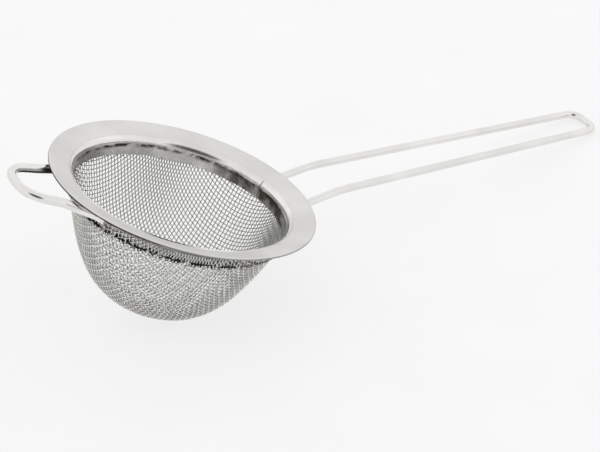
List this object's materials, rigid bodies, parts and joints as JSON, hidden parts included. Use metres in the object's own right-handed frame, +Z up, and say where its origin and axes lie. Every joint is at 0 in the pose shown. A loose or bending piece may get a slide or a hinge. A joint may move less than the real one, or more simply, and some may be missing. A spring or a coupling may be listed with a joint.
{
  "type": "tea strainer",
  "caption": "Hand strainer: a round wire-cloth bowl in a dished steel rim, with a long looped wire handle and a short wire ear that rests on the far edge of a cup.",
  "frame": {"origin": "on the table, under the middle of the strainer's box, as it stands on its bowl and the tip of its handle", "axes": "+Z up from the table, +X towards the handle's tip, +Y to the left seen from the bowl"},
  "size_m": [0.2054, 0.08, 0.0584],
  "materials": {
    "satin_steel": "satin, fine circular brushing",
    "ring_steel": "bright rolled strip",
    "wire_cloth": "drawn wire, plain weave",
    "bright_wire": "polished drawn wire",
    "weld_metal": "polished weld"
  },
  "bodies": {
    "root": {"rim_flange": "satin_steel", "retaining_ring": "ring_steel", "mesh_bowl": "wire_cloth", "handle_wire": "bright_wire", "rest_ear": "bright_wire", "handle_weld_left": "weld_metal", "handle_weld_right": "weld_metal", "ear_weld_left": "weld_metal", "ear_weld_right": "weld_metal"}
  },
  "joints": []
}
